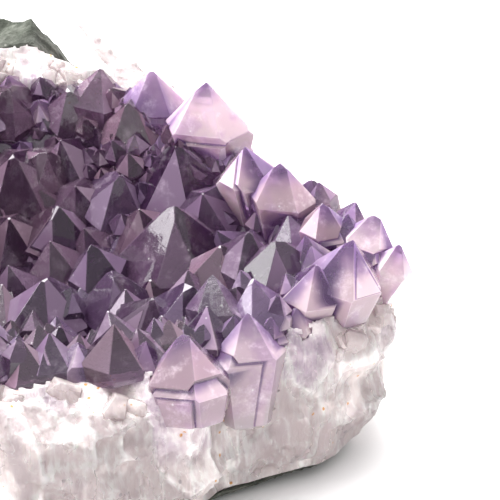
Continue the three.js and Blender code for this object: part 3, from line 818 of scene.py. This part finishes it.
def shard_planes(point, count):
    """A broken lump of quartz with flat faces."""
    size = between(*SHARD_SIZE, scatter(count, FOR_SHARD_SIZE) ** 2)
    planes = []
    for face in range(SHARD_FACES):
        number = count * SHARD_FACES + face
        height = 1 - 2 * (face + 0.5) / SHARD_FACES
        angle = TURN_TO_NEXT_FACE * face + scatter(number, FOR_SHARD_TURN)
        normal = Vector((math.cos(angle), math.sin(angle), 0)) * math.sqrt(1 - height * height)
        normal.z = height
        reach = size * between(*SHARD_REACH, scatter(number, FOR_SHARD_REACH))
        planes.append((normal, normal.dot(point) + reach))
    return planes


def spread_places(points, allowed, number, apart, purpose):
    """Scattered places among the allowed points, no two nearer than a distance."""
    found = []
    allowed = np.flatnonzero(allowed)
    for count in range(number * 4):
        place = allowed[int(scatter(count, purpose) * len(allowed))]
        if all(np.linalg.norm(points[place] - points[other]) > apart for other in found):
            found.append(place)
        if len(found) == number:
            break
    return found


def cloud(places, octaves):
    """Smooth noise at each place, about from -1 to 1."""
    return np.array([noise.fractal(Vector(place), 1.0, 2.0, octaves) for place in places])


def terraced(values, steps):
    """The values in steps, with a steep slope between two flat steps."""
    raised = values * steps
    step = np.floor(raised)
    return (step + smooth_share(raised - step, 0.72, 1.0)) / steps


# The wall's grid, and the width, length, tilt and step of its broken columns and splinters, in millimetres.
WALL_GRID, WALL_KEPT = 0.6, 0.75
COLUMN_WIDTH, COLUMN_LENGTH, COLUMN_TILT, COLUMN_STEP = 7.0, 22, 0.15, 0.40
SPLINTER_WIDTH, SPLINTER_LENGTH, SPLINTER_TILT, SPLINTER_STEP = 2.6, 8, 0.10, 0.14
LEDGE_WIDTH, LEDGE_STEPS, LEDGE_HEIGHT = 11, 2.5, 0.9
FIBRE_WIDTH, FIBRE_LENGTH, FIBRE_HEIGHT = 1.8, 14, 0.16
SEAM_HEIGHT, SUNK, DEEPEST, PROUDEST = 0.35, 0.5, -2.2, 0.2

# Right under the crust the wall is raised over the gap between the solids, so that the two touch.
TOUCHING, GAP_CLOSED = (0.4, 0.6), 0.45

wall = remeshed_copy("quartz_wall", "quartz_wall_fine", WALL_GRID)
points, normals = points_of(wall.data), normals_of(wall.data)
surface = points / MM + np.array(OUTLINE_MIDDLE)
to_crust = distance_to(surface_of("amethyst_crust"), points, 12)
across = surface[:, :2] - np.array(HOLLOW_CENTRE.xy)
degrees = (np.degrees(np.arctan2(across[:, 1], across[:, 0])) % 360).astype(int) % 360
edge_radius = np.array([inner_radius(math.radians(degree)) for degree in range(360)])[degrees]
in_hollow = smooth_share(edge_radius - np.hypot(across[:, 0], across[:, 1]), -1, 2)
to_rind = distance_to(surface_of("basalt_rind"), points, 4)
under_crust = 1 - smooth_share(to_crust, *TOUCHING)
broken = smooth_share(np.minimum(to_crust, to_rind), 0.5, 2.2)
columns = Cells(column_places(points, COLUMN_WIDTH, COLUMN_LENGTH), COLUMN_TILT, COLUMN_STEP, 11)
splinters = Cells(column_places(points, SPLINTER_WIDTH, SPLINTER_LENGTH), SPLINTER_TILT, SPLINTER_STEP, 12)
ledges = terraced(cloud(surface / LEDGE_WIDTH, 3), LEDGE_STEPS)
fibres = cloud(column_places(points, FIBRE_WIDTH, FIBRE_LENGTH), 3)
seams = 1 - smooth_share(columns.margin, 0.03, 0.15)
seams = np.maximum(seams, 0.6 - 0.6 * smooth_share(splinters.margin, 0.03, 0.18))
relief = columns.height + splinters.height + LEDGE_HEIGHT * ledges + FIBRE_HEIGHT * fibres
shift = broken * (relief + SEAM_HEIGHT * seams - SUNK)
shift = np.clip(shift, DEEPEST, PROUDEST) + under_crust * GAP_CLOSED
wall.data.vertices.foreach_set("co", (points + normals * (shift * MM)[:, None]).ravel())
add_values(wall.data, "column_tone", "POINT", columns.tone)
add_values(wall.data, "splinter_tone", "POINT", splinters.tone)
# Painted shade: marks the wall right under the crust, which the material turns dark violet.
add_values(wall.data, "painted_shade_under_crust", "POINT", under_crust * in_hollow)
add_values(wall.data, "seam", "POINT", seams)
add_values(wall.data, "violet_wash", "POINT", 1 - smooth_share(to_crust, 0.5, 10))
thin = wall.modifiers.new("fewer", "DECIMATE")
thin.ratio = WALL_KEPT
settled(wall)

shards = bpy.data.collections.new("shards")
is_crest = (to_rind > 1) & (to_crust > 1.2) & (to_crust < 4.5) & (normals[:, 2] > 0.2)
for number, place in enumerate(spread_places(surface, is_crest, SHARDS, SHARD_APART, FOR_SHARD_PLACE)):
    middle = Vector(surface[place] - normals[place] * SHARD_SUNK)
    planes = shard_planes(middle, FIRST_SHARD + number)
    mesh = convex_mesh(planes, SHARD_EASE, f"shard_{number}")
    count, size = FIRST_SHARD_TONE + number, len(mesh.vertices)
    add_values(mesh, "column_tone", "POINT", np.full(size, scatter(count, FOR_SHARD_TONE)))
    add_values(mesh, "splinter_tone", "POINT", np.full(size, scatter(count, FOR_SHARD_GLINT)))
    move_into_frame(mesh)
    shards.objects.link(bpy.data.objects.new(mesh.name, mesh))
grow_together(wall, shards)
wall.data.shade_smooth()
wall.data.set_sharp_from_angle(angle=math.radians(40))

CLEAR_QUARTZ, MILKY_QUARTZ = (0.68, 0.56, 0.56, 1), (0.80, 0.71, 0.69, 1)
VIOLET_WASH, THREAD_GREY, STREAK_WHITE = (0.42, 0.30, 0.45, 1), (0.75, 0.67, 0.67, 1), (0.84, 0.78, 0.78, 1)
SPLINTER_GREY, CRACK_WHITE, SEAM_WHITE_AND_HIGHLIGHT = (0.52, 0.42, 0.46, 1), (0.90, 0.88, 0.87, 1), (0.93, 0.90, 0.88, 1)
PIT_SHADE, RUST, PAINTED_SHADE_UNDER_CRUST = (0.26, 0.22, 0.25, 1), (0.62, 0.27, 0.04, 1), (0.30, 0.21, 0.32, 1)

quartz, tree, shader = paint("milky_quartz")
place = add_node(tree, "TexCoord").outputs["Object"]
long_way = add_node(tree, "Mapping", {"Vector": place, "Scale": (1.0, 1.0, 0.2)}).outputs[0]
column_tone = attribute(tree, "column_tone")
splinter_tone = attribute(tree, "splinter_tone")
seam = attribute(tree, "seam")
streaks = mottling(tree, long_way, 900, 4, 0.6)
threads = mottling(tree, long_way, 2600, 3, 0.6)
patches = mottling(tree, place, 130, 5, 0.6)

# Clear and milky patches, washed with violet near the crust.
opaque = ramped(tree, math_node(tree, "MULTIPLY_ADD", column_tone, 0.25, patches), 0.5, 0.85)
washed = attribute(tree, "violet_wash")
washed = math_node(tree, "MULTIPLY", washed, ramped(tree, column_tone, 0.25, 0.8, 0.1, 0.85))
washed = math_node(tree, "MULTIPLY", washed, ramped(tree, patches, 0.38, 0.6, 1.0, 0.35))
colour = blended(tree, opaque, CLEAR_QUARTZ, MILKY_QUARTZ)
colour = blended(tree, washed, colour, VIOLET_WASH)

# Threads and streaks along the columns, darker splinters, white cracks, and white on the seams that is partly
# the quartz's own and partly a painted highlight on the raised edges.
cracks = mottling(tree, place, 210, 4, distortion=0.6)
cracks = math_node(tree, "ABSOLUTE", math_node(tree, "SUBTRACT", cracks, 0.5))
cracks = ramped(tree, cracks, 0.014, 0.0)
cracks = math_node(tree, "MULTIPLY", cracks, ramped(tree, streaks, 0.4, 0.6, 0, 0.7))
# Partly a painted highlight: the seams are raised edges, and their white stands partly for light catching
# them.
seam_white_and_highlight = math_node(tree, "MULTIPLY", seam, ramped(tree, streaks, 0.40, 0.60, 0.15, 0.9))
colour = blended(tree, ramped(tree, threads, 0.4, 0.7, 0, 0.4), colour, THREAD_GREY)
colour = blended(tree, ramped(tree, streaks, 0.55, 0.75, 0, 0.45), colour, STREAK_WHITE)
colour = blended(tree, ramped(tree, splinter_tone, 0.7, 1.0, 0, 0.35), colour, SPLINTER_GREY)
colour = blended(tree, cracks, colour, CRACK_WHITE)
colour = blended(tree, seam_white_and_highlight, colour, SEAM_WHITE_AND_HIGHLIGHT)

# Painted shade in small pits, specks of rust, and painted violet shade on the wall where the crust covers it.
# Painted shade: dark spots that stand for the shade in small pits, which the mesh doesn't have.
pit_shade = math_node(tree, "MULTIPLY", ramped(tree, spots(tree, place, 330), 0.16, 0.08), 0.6)
pit_shade = math_node(tree, "MULTIPLY", pit_shade, ramped(tree, patches, 0.5, 0.4))
rusty = ramped(tree, spots(tree, place, 520), 0.20, 0.12)
rusty = math_node(tree, "MULTIPLY", rusty, ramped(tree, patches, 0.55, 0.59))
colour = blended(tree, pit_shade, colour, PIT_SHADE)
colour = blended(tree, rusty, colour, RUST)
# Painted violet shade on the wall under the crust.
colour = blended(tree, attribute(tree, "painted_shade_under_crust"), colour, PAINTED_SHADE_UNDER_CRUST)
tree.links.new(colour, shader.inputs["Base Color"])
tree.links.new(ramped(tree, opaque, 0, 1, 0.55, 0.1), shader.inputs["Transmission Weight"])
tree.links.new(math_node(tree, "MULTIPLY_ADD", splinter_tone, 0.35, 0.18), shader.inputs["Roughness"])
shader.inputs["IOR"].default_value = QUARTZ_IOR
shader.inputs["Subsurface Weight"].default_value = 0.35
shader.inputs["Subsurface Radius"].default_value = (0.0045, 0.004, 0.0048)
shader.inputs["Subsurface Scale"].default_value = 1.0
relief = math_node(tree, "MULTIPLY_ADD", threads, 0.5, streaks)
grain = add_node(tree, "Bump", {"Strength": 0.6, "Distance": 0.0004, "Height": relief})
tree.links.new(grain.outputs[0], shader.inputs["Normal"])
wall.data.materials.clear()
wall.data.materials.append(quartz)
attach(wall, "root")
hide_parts("quartz_wall")


# Basalt rind
# The skin of old lava that the geode formed in: dark grey-green stone, soft and crumbling, pitted, with
# pale specks of quartz. The flat cut under the piece goes through it.
RIND_GRID = 0.9
SECTORS = 180
RAGGED_DEPTH, RAGGED_SIZE, RAGGED_DROP = 9, 7, (0, 3.5)
THIN_FROM, THIN_TO, THIN_DEPTH, THIN_DROP = -2, 8, 16, 7.5
DEEPEST_PIT, TALLEST_BUMP = -1.4, 0.4

rind = remeshed_copy("basalt_rind", "basalt_rind_fine", RIND_GRID)
points, normals = points_of(rind.data), normals_of(rind.data)
surface = points / MM + np.array(OUTLINE_MIDDLE)
across = surface[:, :2] - np.array(HOLLOW_CENTRE.xy)
sector = (np.arctan2(across[:, 1], across[:, 0]) / math.tau % 1 * SECTORS).astype(int)
tops = np.zeros(SECTORS)
np.maximum.at(tops, sector, surface[:, 2])
top = tops[sector]

# The top edge is broken and ragged, and lower behind the right half of the hollow.
edge = smooth_share(surface[:, 2], top - RAGGED_DEPTH, top - 1) * smooth_share(top, 22, 34)
ragged = cloud(np.column_stack([across / RAGGED_SIZE, np.zeros(len(across))]), 4)
drop = edge * np.clip(0.8 + 2.6 * ragged, *RAGGED_DROP)
thinned = smooth_share(surface[:, 0], THIN_FROM, THIN_TO) * (across[:, 1] > 0) * smooth_share(top, 25, 40)
drop += THIN_DROP * thinned * smooth_share(surface[:, 2], top - THIN_DEPTH, top - 1)

# The outside is lumpy and pitted, but not on the flat cut or against the quartz.
to_wall = distance_to(surface_of("quartz_wall"), points, 3)
free = smooth_share(surface[:, 2], 0.3, 1.6) * smooth_share(to_wall, 0.4, 1.2)
bumps = 0.9 * cloud(points * 160, 4) - 0.9 * np.abs(cloud(points * 420, 1)) - 0.3
bumps = np.clip(bumps, DEEPEST_PIT, TALLEST_BUMP) * free
moved = points + normals * (bumps * MM)[:, None]
moved[:, 2] = np.maximum(moved[:, 2] - drop * MM, 0)
rind.data.vertices.foreach_set("co", moved.ravel())

BASALT_DARK, BASALT_GREY = (0.040, 0.041, 0.036, 1), (0.150, 0.148, 0.130, 1)
BASALT_GREEN, CRUMB_GREY = (0.075, 0.100, 0.066, 1), (0.29, 0.29, 0.25, 1)
QUARTZ_SPECK = (0.50, 0.49, 0.45, 1)

basalt, tree, shader = paint("green_basalt")
place = add_node(tree, "TexCoord").outputs["Object"]
mottle = mottling(tree, place, 240, 8, 0.7)
broad = mottling(tree, place, 45, 3)
crumbs = mottling(tree, place, 520, 5, 0.7)
specked = ramped(tree, spots(tree, place, 620), 0.20, 0.06)
specked = math_node(tree, "MULTIPLY", specked, ramped(tree, broad, 0.5, 0.62))
colour = blended(tree, ramped(tree, mottle, 0.33, 0.67), BASALT_DARK, BASALT_GREY)
colour = blended(tree, ramped(tree, broad, 0.4, 0.7, 0, 0.6), colour, BASALT_GREEN)
colour = blended(tree, ramped(tree, crumbs, 0.58, 0.72, 0, 0.6), colour, CRUMB_GREY)
colour = blended(tree, specked, colour, QUARTZ_SPECK)
tree.links.new(colour, shader.inputs["Base Color"])
tree.links.new(ramped(tree, mottle, 0.3, 0.7, 0.95, 0.65), shader.inputs["Roughness"])
grain = add_node(tree, "Bump", {"Strength": 0.9, "Distance": 0.0008, "Height": mottle})
tree.links.new(grain.outputs[0], shader.inputs["Normal"])
rind.data.materials.clear()
rind.data.materials.append(basalt)
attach(rind, "root")
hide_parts("basalt_rind")


# Camera
# It looks along +Y and 24 degrees down, close to the right half of the cluster, from 345 mm away and with a
# view 500 pixels wide where 2,078 pixels make one radian.
LOOK_AT = (Vector((40, -17.5, 39.4)) - OUTLINE_MIDDLE) * MM
LOOK_DOWN = math.radians(24)
AWAY = 0.345
VIEW_WIDTH = 500 / 2078
lens = bpy.data.cameras.new("camera")
lens.sensor_width = 36
lens.lens = 36 / VIEW_WIDTH
lens.clip_start = 0.01
camera = bpy.data.objects.new("camera", lens)
camera.location = LOOK_AT + Vector((0, -math.cos(LOOK_DOWN), math.sin(LOOK_DOWN))) * AWAY
camera.rotation_euler = (math.pi / 2 - LOOK_DOWN, 0, 0)
bpy.context.scene.collection.objects.link(camera)
bpy.context.scene.camera = camera


# Floor and light
# A seamless white table in a bright white room, with two soft boxes: one above and behind the cluster,
# and one low at the left.
TABLE = 3
floor_mesh = bpy.data.meshes.new("white_table")
corners = [(-TABLE, -TABLE, 0), (TABLE, -TABLE, 0), (TABLE, TABLE, 0), (-TABLE, TABLE, 0)]
floor_mesh.from_pydata(corners, [], [(0, 1, 2, 3)])
table = bpy.data.objects.new("white_table", floor_mesh)
bpy.context.scene.collection.objects.link(table)
white, tree, shader = paint("white_table")
shader.inputs["Base Color"].default_value = (0.86, 0.85, 0.85, 1)
shader.inputs["Roughness"].default_value = 0.6
table.data.materials.append(white)

WINDOW_DIRECTION = (-0.40, 0.50, 0.77)
DIM_SIDE, BRIGHT_SIDE = 0.8, 1.9
room = bpy.data.worlds.new("white_room")
room.use_nodes = True
tree = room.node_tree
direction = add_node(tree, "TexCoord").outputs["Generated"]
facing = add_node(tree, "VectorMath", {0: direction, 1: WINDOW_DIRECTION}, operation="DOT_PRODUCT")
strength = ramped(tree, facing.outputs["Value"], -0.3, 0.9, DIM_SIDE, BRIGHT_SIDE)
tree.links.new(strength, tree.nodes["Background"].inputs["Strength"])
tree.nodes["Background"].inputs["Color"].default_value = (1, 1, 1, 1)
bpy.context.scene.world = room


CLUSTER_MIDDLE = Vector((0, 0, 0.03))
SOFT_RADIANCE = 7.0


def soft_light(name, place, size, radiance):
    """A square soft box that faces the cluster, with the same brightness all over."""
    light = bpy.data.lights.new(name, "AREA")
    light.shape, light.size = "SQUARE", size
    light.energy = radiance * math.pi * size * size
    lamp = bpy.data.objects.new(name, light)
    lamp.location = place
    lamp.rotation_euler = (CLUSTER_MIDDLE - Vector(place)).to_track_quat("-Z", "Y").to_euler()
    lamp.visible_camera = False
    bpy.context.scene.collection.objects.link(lamp)


soft_light("soft_top", (-0.10, 0.15, 0.60), 0.55, SOFT_RADIANCE)
soft_light("soft_left", (-0.62, -0.05, 0.28), 0.38, SOFT_RADIANCE)
bpy.context.scene.view_settings.view_transform = "Standard"
